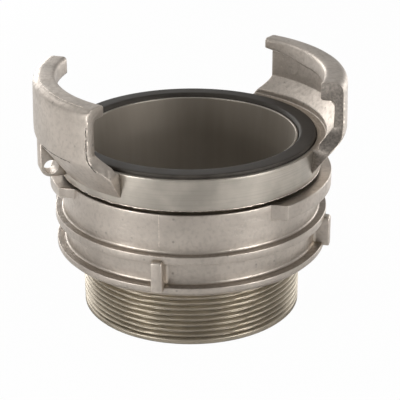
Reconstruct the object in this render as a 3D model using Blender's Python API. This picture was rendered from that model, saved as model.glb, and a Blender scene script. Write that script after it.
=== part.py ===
"""Symmetrical hook half coupling with a locking ring and a male pipe-thread tail, nominal bore 80 mm.

Units are metres and +Z is up. The origin is on the bore's axis, on the tail's end face. The two hooks stand
on the X axis. Angles are in degrees about +Z, counted from +X.
"""

import math

import bmesh
import bpy

# Faceting. A multiple of four keeps a corner of each turned piece on each axis.
TURN_STEPS = 96
WIRE_SIDES = 8
HOLE_SIDES = 24
SHARP_ANGLE = 30.0
WELD_DISTANCE = 1e-6

# How far a round's middle lies from its two tangent lines, as a share of its radius.
ARC_MIDDLE = 1.0 - math.sqrt(0.5)

# How far out in a wall an added feature starts, as a share of the wall's thickness.
OVERLAP_SHARE = 0.6

# Running clearance between the ring, the wire and the body, and the seal's fit in its groove.
CLEARANCE = 0.0003
EDGE_BREAK = 0.0005

# Bore, tail and the journal that the locking ring turns on.
THREAD_CREST_RADIUS = 0.04394
THREAD_LENGTH = 0.0255
THREAD_LEAD = 0.0005
TAIL_WALL = 0.00394
BORE_LEAD = 0.0008
JOURNAL_STEP = 0.00206

# Locking ring, from its lower face upwards.
RING_WALL = 0.0049
RING_LOWER_WALL = 0.0041
RING_HEIGHT = 0.0322
FLANGE_OVERHANG = 0.0038
FLANGE_THICKNESS = 0.0039
FLANGE_BEVEL = 0.0017
RIB_OVERHANG = 0.0032
RIB_TOP = 0.0167
RIB_THICKNESS = 0.0031
RIB_FILLET = 0.0012

# Spanner lugs on the locking ring.
LUG_COUNT = 4
LUG_FIRST_ANGLE = -30.5
LUG_OVERHANG = 0.0063
LUG_WIDTH = 0.0044
LUG_ROUND = 0.0012
LUG_RISE_INTO_RIB = 0.0014

# Ramp lips on the locking ring. Each has an even height from its first end, and then a ramp under it that
# rises to its thin leading end.
LIP_COUNT = 2
LIP_OVERHANG = 0.0048
LIP_FIRST_ANGLE = -71.5
LIP_SPAN = 84.0
LIP_RAMP_SPAN = 32.0
LIP_END_SPLAY = 4.4
LIP_TALL = 0.0059
LIP_THIN = 0.0037
LIP_ROOT_FILLET = 0.0010
LIP_STEPS = 21

# Collar and sealing face.
COLLAR_GAP = 0.0018
COLLAR_HEIGHT = 0.0122
COLLAR_WALL = 0.0017
MOUTH_FLARE = 0.0016
MOUTH_DEPTH = 0.0140
RIM_WALL = 0.0008
RIM_DROP = 0.0002
GROOVE_WIDTH = 0.0075
GROOVE_DEPTH = 0.0052
SEAL_PROUD = 0.0013
SEAL_BEVEL = 0.0005
SEAL_INNER_SLOPE = 0.0008

# Hooks. Each slopes out of the collar's wall to its knee and stands up to its nose. The ends spread along the
# collar, and a ramp under the nose climbs towards the leading end.
HOOK_COUNT = 2
HOOK_OVERHANG = 0.0098
HOOK_WALL = 0.0038
HOOK_REACH = 0.0185
HOOK_ROOT_RISE = 0.0027
HOOK_ROOT_SINK = 0.0004
HOOK_KNEE_RISE = 0.0036
HOOK_KNEE_ROUND = 0.0013
HOOK_FOOT_SPREAD = 0.0018
HOOK_FOOT_RISE = 0.0007
HOOK_STEP_RISE = 0.0024
HOOK_WALL_RISE = 0.0082
HOOK_DRAFT = 0.0005
HOOK_CROWN_ROUND = 0.0035
NOSE_DEPTH = 0.0056
NOSE_HEIGHT = 0.0072
NOSE_THIN = 0.0045
NOSE_RAMP_SPAN = 26.0
NOSE_ROOT_ROUND = 0.0016
NOSE_EDGE_ROUND = 0.0011
HOOK_HALF_ANGLE = 36.0
HOOK_FLARE = 7.0
HOOK_FLARE_TOP = 0.0083
HOOK_FLARE_HEIGHT = 0.0100
HOOK_END_ROUND = 0.0006
HOOK_STEPS = 24

# Ear under one hook, for a keeper chain.
EAR_THICKNESS = 0.0064
EAR_HOLE_RADIUS = 0.0028
EAR_HOLE_OFFSET = 0.0054
EAR_HOLE_RISE = 0.0052
EAR_WEB = 0.0013
EAR_TOP_RISE = 0.0052
EAR_EDGE_BREAK = 0.0004
EAR_FOOT_STEPS = 8

# Retaining wire, sprung out into a groove in the ring's bore.
WIRE_RADIUS = 0.0015
WIRE_RISE = 0.0085
WIRE_BITE = 0.0012
WIRE_GAP_ANGLE = 14.0
WIRE_STEPS = 60
WIRE_GROOVE_DEPTH = 0.0031

# Radii that follow from the sizes above.
BORE_RADIUS = THREAD_CREST_RADIUS - TAIL_WALL
JOURNAL_RADIUS = THREAD_CREST_RADIUS + JOURNAL_STEP
RING_BORE_RADIUS = JOURNAL_RADIUS + CLEARANCE
RING_WALL_RADIUS = RING_BORE_RADIUS + RING_WALL
RING_LOWER_WALL_RADIUS = RING_BORE_RADIUS + RING_LOWER_WALL
FLANGE_RADIUS = RING_LOWER_WALL_RADIUS + FLANGE_OVERHANG
RIB_RADIUS = RING_WALL_RADIUS + RIB_OVERHANG
LUG_RADIUS = RING_LOWER_WALL_RADIUS + LUG_OVERHANG
LIP_RADIUS = RING_WALL_RADIUS + LIP_OVERHANG
RIM_INNER_RADIUS = BORE_RADIUS + MOUTH_FLARE
RIM_OUTER_RADIUS = RIM_INNER_RADIUS + RIM_WALL
GROOVE_OUTER_RADIUS = RIM_OUTER_RADIUS + GROOVE_WIDTH
COLLAR_RADIUS = GROOVE_OUTER_RADIUS + COLLAR_WALL
HOOK_RADIUS = COLLAR_RADIUS + HOOK_OVERHANG
NOSE_RADIUS = HOOK_RADIUS - HOOK_WALL - NOSE_DEPTH
WIRE_CENTRE_RADIUS = RING_BORE_RADIUS + WIRE_BITE - WIRE_RADIUS

# Levels that follow from the sizes above.
RING_BOTTOM = THREAD_LENGTH
RING_TOP = RING_BOTTOM + RING_HEIGHT
COLLAR_BOTTOM = RING_TOP + COLLAR_GAP
FACE = COLLAR_BOTTOM + COLLAR_HEIGHT
GROOVE_FLOOR = FACE - GROOVE_DEPTH
NOSE_BOTTOM = FACE + HOOK_REACH
NOSE_TOP = NOSE_BOTTOM + NOSE_HEIGHT
WIRE_HEIGHT = RING_BOTTOM + WIRE_RISE

CAST_STEEL = (0.56, 0.53, 0.49, 1.0)
TURNED_STEEL = (0.52, 0.49, 0.43, 1.0)
SPRING_STEEL = (0.48, 0.47, 0.45, 1.0)
BLACK_RUBBER = (0.03, 0.03, 0.03, 1.0)


def clear_scene():
    for obj in list(bpy.data.objects):
        bpy.data.objects.remove(obj, do_unlink=True)


def make_material(name, colour, roughness, metallic):
    material = bpy.data.materials.new(name)
    material.use_nodes = True
    shader = material.node_tree.nodes["Principled BSDF"]
    shader.inputs["Base Color"].default_value = colour
    shader.inputs["Roughness"].default_value = roughness
    shader.inputs["Metallic"].default_value = metallic
    return material


def make_object(name, mesh_builder, material=None):
    """Turns a closed bmesh into an object whose faces point out."""
    bmesh.ops.remove_doubles(mesh_builder, verts=mesh_builder.verts, dist=WELD_DISTANCE)
    bmesh.ops.recalc_face_normals(mesh_builder, faces=mesh_builder.faces)
    mesh = bpy.data.meshes.new(name)
    mesh_builder.to_mesh(mesh)
    mesh_builder.free()
    mesh.shade_smooth()
    mesh.set_sharp_from_angle(angle=math.radians(SHARP_ANGLE))
    obj = bpy.data.objects.new(name, mesh)
    bpy.context.collection.objects.link(obj)
    if material:
        mesh.materials.append(material)
    return obj


def hide_as_tool(obj):
    obj.hide_render = True
    obj.display_type = "WIRE"


def join_or_cut(target, tool, operation):
    hide_as_tool(tool)
    modifier = target.modifiers.new(tool.name, "BOOLEAN")
    modifier.operation = operation
    modifier.solver = "EXACT"
    modifier.object = tool


def on_circle(radius, angle, height):
    turn = math.radians(angle)
    return (radius * math.cos(turn), radius * math.sin(turn), height)


def blend(start, end, share):
    return start + (end - start) * share


def turned(name, profile, material=None):
    """Revolves a closed (radius, height) outline about Z."""
    builder = bmesh.new()
    corners = [builder.verts.new((radius, 0.0, height)) for radius, height in profile]
    edges = []
    for index, corner in enumerate(corners):
        edges.append(builder.edges.new((corner, corners[(index + 1) % len(corners)])))
    bmesh.ops.spin(
        builder,
        geom=corners + edges,
        cent=(0.0, 0.0, 0.0),
        axis=(0.0, 0.0, 1.0),
        angle=math.tau,
        steps=TURN_STEPS,
        use_merge=True,
        use_duplicate=False,
    )
    return make_object(name, builder, material)


def swept(name, stations):
    """Skins a run of closed sections that all have as many points, and caps its ends."""
    builder = bmesh.new()
    rings = []
    for station in stations:
        rings.append([builder.verts.new(point) for point in station])
    count = len(rings[0])
    for first, second in zip(rings, rings[1:]):
        for index in range(count):
            after = (index + 1) % count
            builder.faces.new((first[index], first[after], second[after], second[index]))
    for ring in (rings[0], rings[-1]):
        for index in range(count // 2 - 1):
            mirror = count - 1 - index
            builder.faces.new((ring[index], ring[index + 1], ring[mirror - 1], ring[mirror]))
    return make_object(name, builder)


def body_profile():
    """The turned outline of the body: tail, journal, wire groove, collar, seal groove and bore."""
    groove_floor = JOURNAL_RADIUS - WIRE_GROOVE_DEPTH
    groove_half = WIRE_RADIUS + CLEARANCE
    rim_top = FACE - RIM_DROP
    return [
        (BORE_RADIUS, BORE_LEAD),
        (BORE_RADIUS + BORE_LEAD, 0.0),
        (THREAD_CREST_RADIUS - THREAD_LEAD, 0.0),
        (THREAD_CREST_RADIUS, THREAD_LEAD),
        (THREAD_CREST_RADIUS, THREAD_LENGTH - EDGE_BREAK),
        (JOURNAL_RADIUS, THREAD_LENGTH + EDGE_BREAK),
        (JOURNAL_RADIUS, WIRE_HEIGHT - groove_half),
        (groove_floor, WIRE_HEIGHT - groove_half),
        (groove_floor, WIRE_HEIGHT + groove_half),
        (JOURNAL_RADIUS, WIRE_HEIGHT + groove_half),
        (JOURNAL_RADIUS, COLLAR_BOTTOM),
        (COLLAR_RADIUS - EDGE_BREAK, COLLAR_BOTTOM),
        (COLLAR_RADIUS, COLLAR_BOTTOM + EDGE_BREAK),
        (COLLAR_RADIUS, FACE - EDGE_BREAK),
        (COLLAR_RADIUS - EDGE_BREAK, FACE),
        (GROOVE_OUTER_RADIUS, FACE),
        (GROOVE_OUTER_RADIUS, GROOVE_FLOOR),
        (RIM_OUTER_RADIUS, GROOVE_FLOOR),
        (RIM_OUTER_RADIUS, rim_top),
        (RIM_INNER_RADIUS, rim_top),
        (RIM_INNER_RADIUS - EDGE_BREAK, rim_top - EDGE_BREAK),
        (BORE_RADIUS, rim_top - MOUTH_DEPTH),
    ]


def nose_height(share):
    """The nose is thin at its leading end, where share is 1, and a ramp under it leads to its full height."""
    from_end = (1.0 - share) * HOOK_HALF_ANGLE
    return blend(NOSE_THIN, NOSE_HEIGHT, min(from_end / NOSE_RAMP_SPAN, 1.0))


def hook_outside(height):
    """The radius of a hook's outside above its knee, drawn in a little towards the crown."""
    wall_height = FACE + HOOK_WALL_RISE
    climbed = max(height - wall_height, 0.0) / (NOSE_TOP - HOOK_CROWN_ROUND - wall_height)
    return HOOK_RADIUS - HOOK_DRAFT * climbed


def hook_rungs(share):
    """Pairs of (inner point, outer point) that climb the hook's section, from the collar to the nose."""
    root_inner = blend(GROOVE_OUTER_RADIUS, COLLAR_RADIUS, 0.5)
    root_outer = COLLAR_RADIUS - HOOK_ROOT_SINK
    knee_height = FACE + HOOK_KNEE_RISE
    root_height = COLLAR_BOTTOM + HOOK_ROOT_RISE
    slope = (HOOK_RADIUS - COLLAR_RADIUS) / (knee_height - root_height)
    root_bottom = root_height - HOOK_ROOT_SINK / slope
    slope_heights = [blend(root_bottom, knee_height, part) for part in (0.35, 0.7, 0.9)]
    slope_points = [(root_outer + slope * (height - root_bottom), height) for height in slope_heights]
    foot_radius = COLLAR_RADIUS + HOOK_FOOT_SPREAD
    wall_radius = HOOK_RADIUS - HOOK_WALL
    wall_height = FACE + HOOK_WALL_RISE
    nose_bottom = NOSE_TOP - nose_height(share)
    nose_root = nose_bottom - NOSE_ROOT_ROUND
    crown_height = NOSE_TOP - HOOK_CROWN_ROUND
    crown_radius = hook_outside(crown_height)
    root_middle = ARC_MIDDLE * NOSE_ROOT_ROUND
    edge_middle = ARC_MIDDLE * NOSE_EDGE_ROUND
    crown_middle = ARC_MIDDLE * HOOK_CROWN_ROUND
    crown_point = (crown_radius - crown_middle, NOSE_TOP - crown_middle)
    parts = (0.2, 0.4, 0.6, 0.8)
    outer_heights = [wall_height, NOSE_BOTTOM - NOSE_ROOT_ROUND, NOSE_BOTTOM]
    outer_heights += [blend(NOSE_BOTTOM, crown_height, part) for part in parts]
    outside = [(hook_outside(height), height) for height in outer_heights]
    return [
        ((root_inner, root_bottom), (root_outer, root_bottom)),
        ((root_inner, slope_heights[0]), slope_points[0]),
        ((root_inner, FACE - EDGE_BREAK), slope_points[1]),
        ((foot_radius, FACE + HOOK_FOOT_RISE), slope_points[2]),
        ((foot_radius, FACE + HOOK_STEP_RISE), (HOOK_RADIUS, knee_height + HOOK_KNEE_ROUND)),
        ((wall_radius, wall_height), outside[0]),
        ((wall_radius, nose_root), outside[1]),
        ((wall_radius - root_middle, nose_bottom - root_middle), outside[2]),
        ((wall_radius - NOSE_ROOT_ROUND, nose_bottom), outside[3]),
        ((NOSE_RADIUS + NOSE_EDGE_ROUND, nose_bottom), outside[4]),
        ((NOSE_RADIUS + edge_middle, nose_bottom + edge_middle), outside[5]),
        ((NOSE_RADIUS, nose_bottom + NOSE_EDGE_ROUND), outside[6]),
        ((NOSE_RADIUS, NOSE_TOP - NOSE_EDGE_ROUND), (crown_radius, crown_height)),
        ((NOSE_RADIUS + edge_middle, NOSE_TOP - edge_middle), crown_point),
        ((NOSE_RADIUS + NOSE_EDGE_ROUND, NOSE_TOP), (crown_radius - HOOK_CROWN_ROUND, NOSE_TOP)),
    ]


def hook_half_angle(height):
    """The hook's ends stand straight up, and spread where they run out along the collar."""
    depth = (FACE + HOOK_FLARE_TOP - height) / HOOK_FLARE_HEIGHT
    share = min(max(depth, 0.0), 1.0)
    return HOOK_HALF_ANGLE + HOOK_FLARE * share * share * (3.0 - 2.0 * share)


def hook_station(centre_angle, share, round_off):
    """One section of a hook. share runs from -1 to 1 across it, and round_off draws its sides together."""
    inner_side = []
    outer_side = []
    for (inner_radius, inner_height), (outer_radius, outer_height) in hook_rungs(share):
        inner_angle = centre_angle + share * hook_half_angle(inner_height)
        outer_angle = centre_angle + share * hook_half_angle(outer_height)
        inner_side.append(on_circle(inner_radius + round_off, inner_angle, inner_height))
        outer_side.append(on_circle(outer_radius - round_off, outer_angle, outer_height))
    return inner_side + outer_side[::-1]


def make_hook(index):
    centre_angle = 360.0 / HOOK_COUNT * index
    end_share = 1.0 - math.degrees(HOOK_END_ROUND / HOOK_RADIUS) / HOOK_HALF_ANGLE
    shares = [end_share * (2.0 * step / HOOK_STEPS - 1.0) for step in range(HOOK_STEPS + 1)]
    stations = [hook_station(centre_angle, -1.0, HOOK_END_ROUND)]
    stations += [hook_station(centre_angle, share, 0.0) for share in shares]
    stations += [hook_station(centre_angle, 1.0, HOOK_END_ROUND)]
    return swept(f"hook_{index}", stations)


def ear_hole_place():
    """The radius and height of the ear's hole."""
    return COLLAR_RADIUS + EAR_HOLE_OFFSET, COLLAR_BOTTOM + EAR_HOLE_RISE


def make_ear():
    """A plate under the hook on the -X side, with a rounded foot about its hole."""
    hole_radius, hole_height = ear_hole_place()
    foot_radius = EAR_HOLE_RADIUS + EAR_WEB
    inside_radius = blend(GROOVE_OUTER_RADIUS, COLLAR_RADIUS, OVERLAP_SHARE)
    wall_middle = HOOK_RADIUS - HOOK_WALL / 2
    top = FACE + EAR_TOP_RISE
    outline = [
        (wall_middle, top),
        (inside_radius, hole_height + foot_radius),
        (inside_radius, hole_height - foot_radius),
    ]
    for step in range(EAR_FOOT_STEPS + 1):
        turn = math.radians(90.0 * step / EAR_FOOT_STEPS - 90.0)
        across = hole_radius + foot_radius * math.cos(turn)
        outline.append((across, hole_height + foot_radius * math.sin(turn)))
    outline.append((HOOK_RADIUS - HOOK_DRAFT, top - HOOK_WALL / 2))
    builder = bmesh.new()
    corners = [builder.verts.new((-across, -EAR_THICKNESS / 2, height)) for across, height in outline]
    face = builder.faces.new(corners)
    extruded = bmesh.ops.extrude_face_region(builder, geom=[face])
    moved = [item for item in extruded["geom"] if isinstance(item, bmesh.types.BMVert)]
    bmesh.ops.translate(builder, verts=moved, vec=(0.0, EAR_THICKNESS, 0.0))
    rims = [edge for edge in builder.edges if abs(edge.verts[0].co.y - edge.verts[1].co.y) < WELD_DISTANCE]
    bmesh.ops.bevel(
        builder,
        geom=rims,
        offset=EAR_EDGE_BREAK,
        segments=1,
        profile=0.5,
        affect="EDGES",
        material=-1,
    )
    return make_object("ear", builder)


def make_ear_hole():
    builder = bmesh.new()
    bmesh.ops.create_cone(
        builder,
        cap_ends=True,
        segments=HOLE_SIDES,
        radius1=EAR_HOLE_RADIUS,
        radius2=EAR_HOLE_RADIUS,
        depth=EAR_THICKNESS * 2.0,
    )
    cutter = make_object("ear_hole", builder)
    cutter.rotation_euler = (math.radians(90.0), 0.0, 0.0)
    hole_radius, hole_height = ear_hole_place()
    cutter.location = (-hole_radius, 0.0, hole_height)
    return cutter


def make_body(material):
    body = turned("body", body_profile(), material)
    for index in range(HOOK_COUNT):
        join_or_cut(body, make_hook(index), "UNION")
    join_or_cut(body, make_ear(), "UNION")
    join_or_cut(body, make_ear_hole(), "DIFFERENCE")
    return body


def make_seal(material):
    """A flat gasket ring that stands a little proud of the collar."""
    inner = RIM_OUTER_RADIUS + CLEARANCE
    outer = GROOVE_OUTER_RADIUS - CLEARANCE
    bottom = GROOVE_FLOOR + CLEARANCE
    top = FACE + SEAL_PROUD
    profile = [
        (inner, bottom),
        (outer, bottom),
        (outer, top - SEAL_BEVEL),
        (outer - SEAL_BEVEL, top),
        (inner + SEAL_INNER_SLOPE, top),
        (inner, FACE - RIM_DROP),
    ]
    return turned("seal", profile, material)


def ring_profile():
    """The turned outline of the locking ring, without its lips and lugs."""
    groove_radius = RING_BORE_RADIUS + WIRE_BITE + CLEARANCE
    groove_half = WIRE_RADIUS + CLEARANCE
    flange_top = RING_BOTTOM + FLANGE_THICKNESS
    rib_top = RING_BOTTOM + RIB_TOP
    rib_bottom = rib_top - RIB_THICKNESS
    return [
        (RING_BORE_RADIUS + EDGE_BREAK, RING_TOP),
        (RING_WALL_RADIUS - EDGE_BREAK, RING_TOP),
        (RING_WALL_RADIUS, RING_TOP - EDGE_BREAK),
        (RING_WALL_RADIUS, rib_top + RIB_FILLET),
        (RING_WALL_RADIUS + ARC_MIDDLE * RIB_FILLET, rib_top + ARC_MIDDLE * RIB_FILLET),
        (RING_WALL_RADIUS + RIB_FILLET, rib_top),
        (RIB_RADIUS - EDGE_BREAK, rib_top),
        (RIB_RADIUS, rib_top - EDGE_BREAK),
        (RIB_RADIUS, rib_bottom + EDGE_BREAK),
        (RIB_RADIUS - EDGE_BREAK, rib_bottom),
        (RING_LOWER_WALL_RADIUS + EDGE_BREAK, rib_bottom),
        (RING_LOWER_WALL_RADIUS, rib_bottom - EDGE_BREAK),
        (RING_LOWER_WALL_RADIUS, flange_top + RIB_FILLET),
        (RING_LOWER_WALL_RADIUS + ARC_MIDDLE * RIB_FILLET, flange_top + ARC_MIDDLE * RIB_FILLET),
        (RING_LOWER_WALL_RADIUS + RIB_FILLET, flange_top),
        (FLANGE_RADIUS - EDGE_BREAK, flange_top),
        (FLANGE_RADIUS, flange_top - EDGE_BREAK),
        (FLANGE_RADIUS, RING_BOTTOM + FLANGE_BEVEL),
        (FLANGE_RADIUS - FLANGE_BEVEL, RING_BOTTOM),
        (RING_BORE_RADIUS + EDGE_BREAK, RING_BOTTOM),
        (RING_BORE_RADIUS, RING_BOTTOM + EDGE_BREAK),
        (RING_BORE_RADIUS, WIRE_HEIGHT - groove_half),
        (groove_radius, WIRE_HEIGHT - 0.5 * groove_half),
        (groove_radius, WIRE_HEIGHT + 0.5 * groove_half),
        (RING_BORE_RADIUS, WIRE_HEIGHT + groove_half),
        (RING_BORE_RADIUS, RING_TOP - EDGE_BREAK),
    ]


def lip_station(start_angle, share):
    """One section of a ramp lip. share runs from 0 at its tall end to 1 at its leading end."""
    ramp_start = 1.0 - LIP_RAMP_SPAN / LIP_SPAN
    along_ramp = max(share - ramp_start, 0.0) / (1.0 - ramp_start)
    underside = RING_TOP - blend(LIP_TALL, LIP_THIN, along_ramp)
    inside = blend(RING_BORE_RADIUS, RING_WALL_RADIUS, OVERLAP_SHARE)
    section = [
        (inside, RING_TOP),
        (LIP_RADIUS - EDGE_BREAK, RING_TOP),
        (LIP_RADIUS, RING_TOP - EDGE_BREAK),
        (LIP_RADIUS, underside + EDGE_BREAK),
        (LIP_RADIUS - EDGE_BREAK, underside),
        (RING_WALL_RADIUS + LIP_ROOT_FILLET, underside),
        (RING_WALL_RADIUS - LIP_ROOT_FILLET, underside - 2.0 * LIP_ROOT_FILLET),
        (inside, underside - 2.0 * LIP_ROOT_FILLET),
    ]
    points = []
    for radius, height in section:
        splay = LIP_END_SPLAY * (radius - RING_WALL_RADIUS) / LIP_OVERHANG
        first = start_angle + splay
        last = start_angle + LIP_SPAN - splay
        points.append(on_circle(radius, blend(first, last, share), height))
    return points


def make_lip(index):
    start_angle = LIP_FIRST_ANGLE + 360.0 / LIP_COUNT * index
    stations = [lip_station(start_angle, step / LIP_STEPS) for step in range(LIP_STEPS + 1)]
    return swept(f"lip_{index}", stations)


def make_lug(index):
    """A spanner lug: a round-topped block between the flange and the rib."""
    bottom = RING_BOTTOM + blend(FLANGE_BEVEL, FLANGE_THICKNESS, OVERLAP_SHARE)
    top = RING_BOTTOM + RIB_TOP - RIB_THICKNESS + LUG_RISE_INTO_RIB
    inside = blend(RING_BORE_RADIUS, RING_LOWER_WALL_RADIUS, OVERLAP_SHARE)
    builder = bmesh.new()
    bmesh.ops.create_cube(builder, size=1.0)
    bmesh.ops.scale(builder, verts=builder.verts, vec=(LUG_RADIUS - inside, LUG_WIDTH, top - bottom))
    centre = (blend(inside, LUG_RADIUS, 0.5), 0.0, blend(bottom, top, 0.5))
    bmesh.ops.translate(builder, verts=builder.verts, vec=centre)
    outer_limit = LUG_RADIUS - WELD_DISTANCE
    top_limit = top - WELD_DISTANCE
    outer = [edge for edge in builder.edges if max(vert.co.x for vert in edge.verts) > outer_limit]
    outer = [edge for edge in outer if max(vert.co.z for vert in edge.verts) > top_limit]
    bmesh.ops.bevel(
        builder,
        geom=outer,
        offset=LUG_ROUND,
        segments=2,
        profile=0.5,
        affect="EDGES",
        material=-1,
    )
    lug = make_object(f"lug_{index}", builder)
    lug.rotation_euler = (0.0, 0.0, math.radians(LUG_FIRST_ANGLE + 360.0 / LUG_COUNT * index))
    return lug


def make_locking_ring(material):
    ring = turned("locking_ring", ring_profile(), material)
    for index in range(LIP_COUNT):
        join_or_cut(ring, make_lip(index), "UNION")
    for index in range(LUG_COUNT):
        join_or_cut(ring, make_lug(index), "UNION")
    return ring


def make_retaining_wire(material):
    """An open round-wire ring, sprung out into the groove in the locking ring's bore."""
    stations = []
    for step in range(WIRE_STEPS + 1):
        angle = blend(WIRE_GAP_ANGLE / 2, 360.0 - WIRE_GAP_ANGLE / 2, step / WIRE_STEPS)
        section = []
        for side in range(WIRE_SIDES):
            turn = math.tau * (side + 0.5) / WIRE_SIDES
            radius = WIRE_CENTRE_RADIUS + WIRE_RADIUS * math.cos(turn)
            section.append(on_circle(radius, angle, WIRE_HEIGHT + WIRE_RADIUS * math.sin(turn)))
        stations.append(section)
    wire = swept("retaining_wire", stations)
    wire.data.materials.append(material)
    return wire


def main():
    clear_scene()
    cast = make_material("cast_stainless", CAST_STEEL, 0.45, 1.0)
    ring_steel = make_material("ring_stainless", TURNED_STEEL, 0.42, 1.0)
    spring = make_material("spring_steel", SPRING_STEEL, 0.3, 1.0)
    rubber = make_material("black_rubber", BLACK_RUBBER, 0.7, 0.0)
    make_body(cast)
    make_seal(rubber)
    make_locking_ring(ring_steel)
    make_retaining_wire(spring)


main()
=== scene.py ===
"""Looks for the symmetrical hook half coupling: cast and turned stainless steel, and a rubber seal.

Lengths are metres, and angles are degrees about +Z, counted from +X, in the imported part's own frame.
"""

import math

import bmesh
import bpy
from mathutils import Matrix, Vector, noise


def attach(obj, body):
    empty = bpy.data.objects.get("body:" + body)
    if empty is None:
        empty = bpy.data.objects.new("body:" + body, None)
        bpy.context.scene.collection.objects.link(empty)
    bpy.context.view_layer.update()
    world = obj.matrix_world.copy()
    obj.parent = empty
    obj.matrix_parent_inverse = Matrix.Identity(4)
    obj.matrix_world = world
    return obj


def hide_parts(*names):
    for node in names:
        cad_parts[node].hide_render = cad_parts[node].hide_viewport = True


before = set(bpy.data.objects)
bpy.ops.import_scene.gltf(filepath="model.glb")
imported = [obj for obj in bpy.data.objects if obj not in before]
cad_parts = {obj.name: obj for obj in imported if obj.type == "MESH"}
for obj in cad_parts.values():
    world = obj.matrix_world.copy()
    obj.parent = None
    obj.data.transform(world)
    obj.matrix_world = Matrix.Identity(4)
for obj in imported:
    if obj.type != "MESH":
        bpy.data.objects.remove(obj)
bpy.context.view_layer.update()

bl_info = {
    "name": "Hook Half Coupling",
    "version": (1, 0, 0),
    "blender": (4, 5, 0),
    "location": "3D View > Sidebar > Coupling",
    "description": "Models and dresses a symmetrical hook half coupling with a locking ring",
    "category": "Add Mesh",
}

MM = 0.001

# How finely turned surfaces, arcs, rounds and seams are divided.
TURN_STEPS = 240
HOOK_STEPS = 72
LIP_STEPS = 84
ROUND_SEGMENTS = 4
END_RINGS = 3
SEAM_SPACING = 0.35 * MM
WELD_DISTANCE = 1e-6
SHARP_ANGLE = 38.0

# Levels, from the tail's end face.
TAIL_TOP = 25.5 * MM
THREAD_TOP = TAIL_TOP - 0.4 * MM
RING_BOTTOM = 25.5 * MM
RING_TOP = 57.7 * MM
RIB_BOTTOM = 39.1 * MM
RIB_TOP = 42.2 * MM
COLLAR_BOTTOM = 59.5 * MM
FACE = 71.7 * MM
HOOK_STEP = FACE + 2.4 * MM
HOOK_ROOT = 61.66 * MM
HOOK_KNEE = 75.3 * MM
HOOK_WALL_BOTTOM = 79.9 * MM
NOSE_BOTTOM = 90.2 * MM
NOSE_TOP = 97.4 * MM
WIRE_HEIGHT = 34.0 * MM

# Radii.
BORE_RADIUS = 40.0 * MM
CREST_RADIUS = 43.94 * MM
THREAD_INNER_LIMIT = CREST_RADIUS - 0.6 * MM
JOURNAL_RADIUS = 46.0 * MM
WIRE_GROOVE_RADIUS = 42.9 * MM
MOUTH_RADIUS = 41.6 * MM
SEAL_GROOVE_INNER = 42.4 * MM
SEAL_INNER = 42.7 * MM
SEAL_OUTER = 49.6 * MM
SEAL_GROOVE_OUTER = 49.9 * MM
HOOK_ROOT_RADIUS = 50.75 * MM
RING_BORE_RADIUS = 46.3 * MM
RING_WALL_RADIUS = 51.2 * MM
RING_LOWER_WALL_RADIUS = 50.4 * MM
FLANGE_RADIUS = 54.2 * MM
RIB_RADIUS = 54.4 * MM
LIP_RADIUS = 56.0 * MM
LUG_RADIUS = 56.7 * MM
COLLAR_RADIUS = 51.6 * MM
HOOK_RADIUS = 61.4 * MM
HOOK_WALL_RADIUS = 57.6 * MM
NOSE_RADIUS = 52.0 * MM
HOOK_FOOT_RADIUS = COLLAR_RADIUS + 1.8 * MM

# Where things stand round the axis.
HOOK_ANGLES = (0.0, 180.0)
HOOK_HALF_ANGLE = 36.0
HOOK_FLARE = 7.0
HOOK_FLARE_TOP = 80.0 * MM
HOOK_FLARE_HEIGHT = 10.0 * MM
NOSE_RAMP_SPAN = 26.0
NOSE_RAMP_RISE = 2.7 * MM
LIP_ANGLES = (-71.5, 108.5)
LIP_SPAN = 84.0
LIP_RAMP_SPAN = 32.0
LIP_RAMP_RISE = 2.2 * MM
LIP_END_SPLAY = 4.4
LUG_ANGLES = (-30.5, 59.5, 149.5, 239.5)
PHOTO_TURN = -17.5

FLASH_HEIGHT = 0.34 * MM

# Where a piece's materials stand in its list.
TURNED_SLOT = 1
THREAD_SLOT = 2
BORE_SLOT = 3
# Slot of the darker copy that paints shade on the ring's upper faces.
SHADED_LEDGE_SLOT = 1
ROUGH_SLOT = 1
BURR = 0
# Slot of the almost black material for strips of painted shadow.
SHADOW_STRIP = 1

# Sockets of a Mix node that mixes colours.
MIX_FACTOR = 0
MIX_DARK = 6
MIX_LIGHT = 7
MIX_RESULT = 2

# Colour of the painted shade in tight corners and creases.
CORNER_SHADE_COLOUR = (0.20, 0.165, 0.115)
# The bore's rims, rubbed bright and lightened further as a painted highlight.
RUBBED_AND_HIGHLIT_RIM_COLOUR = (0.75, 0.68, 0.57)

# How bright the room is, and how much of the floor's white glows by itself, so that shadows stay faint.
ROOM_GREY = 0.21
FLOOR_GLOW = 0.975

# Lamps: name, azimuth, elevation, distance, width, height, and brightness of the face, where 1 is white.
LAMPS = (
    ("left_softbox", -49.0, 14.0, 0.50, 0.16, 0.28, 8.8),
    ("right_softbox", 50.0, 14.0, 0.50, 0.16, 0.28, 8.2),
    ("back_softbox", -152.0, 8.0, 0.60, 0.20, 0.24, 5.4),
    ("side_softbox", -118.0, 36.0, 0.90, 0.50, 0.50, 1.1),
    ("edge_softbox", 128.0, 5.0, 0.45, 0.12, 0.16, 4.5),
    ("top_softbox", 180.0, 80.0, 1.2, 0.7, 0.7, 0.9),
)


def length_setting(name, description, default):
    return bpy.props.FloatProperty(
        name=name,
        description=description,
        default=default,
        subtype="DISTANCE",
        unit="LENGTH",
    )


def colour_setting(name, description, default):
    return bpy.props.FloatVectorProperty(
        name=name,
        description=description,
        default=default,
        subtype="COLOR",
    )


class CouplingSizes(bpy.types.PropertyGroup):
    """Sizes of the details that the solids leave out."""

    thread_pitch: length_setting("Thread pitch", "Distance from one thread crest to the next", 2.309 * MM)
    thread_depth: length_setting("Thread depth", "Height of the thread's flanks", 1.45 * MM)
    hook_end_round: length_setting(
        "Hook end round", "Round where a hook's end face meets its sides", 0.3 * MM
    )
    lip_end_round: length_setting("Lip end round", "Round at the two ends of a ramp lip", 0.15 * MM)
    flash_height: length_setting(
        "Casting flash", "Height of the tallest ragged seam along a hook's edge", FLASH_HEIGHT
    )


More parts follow.
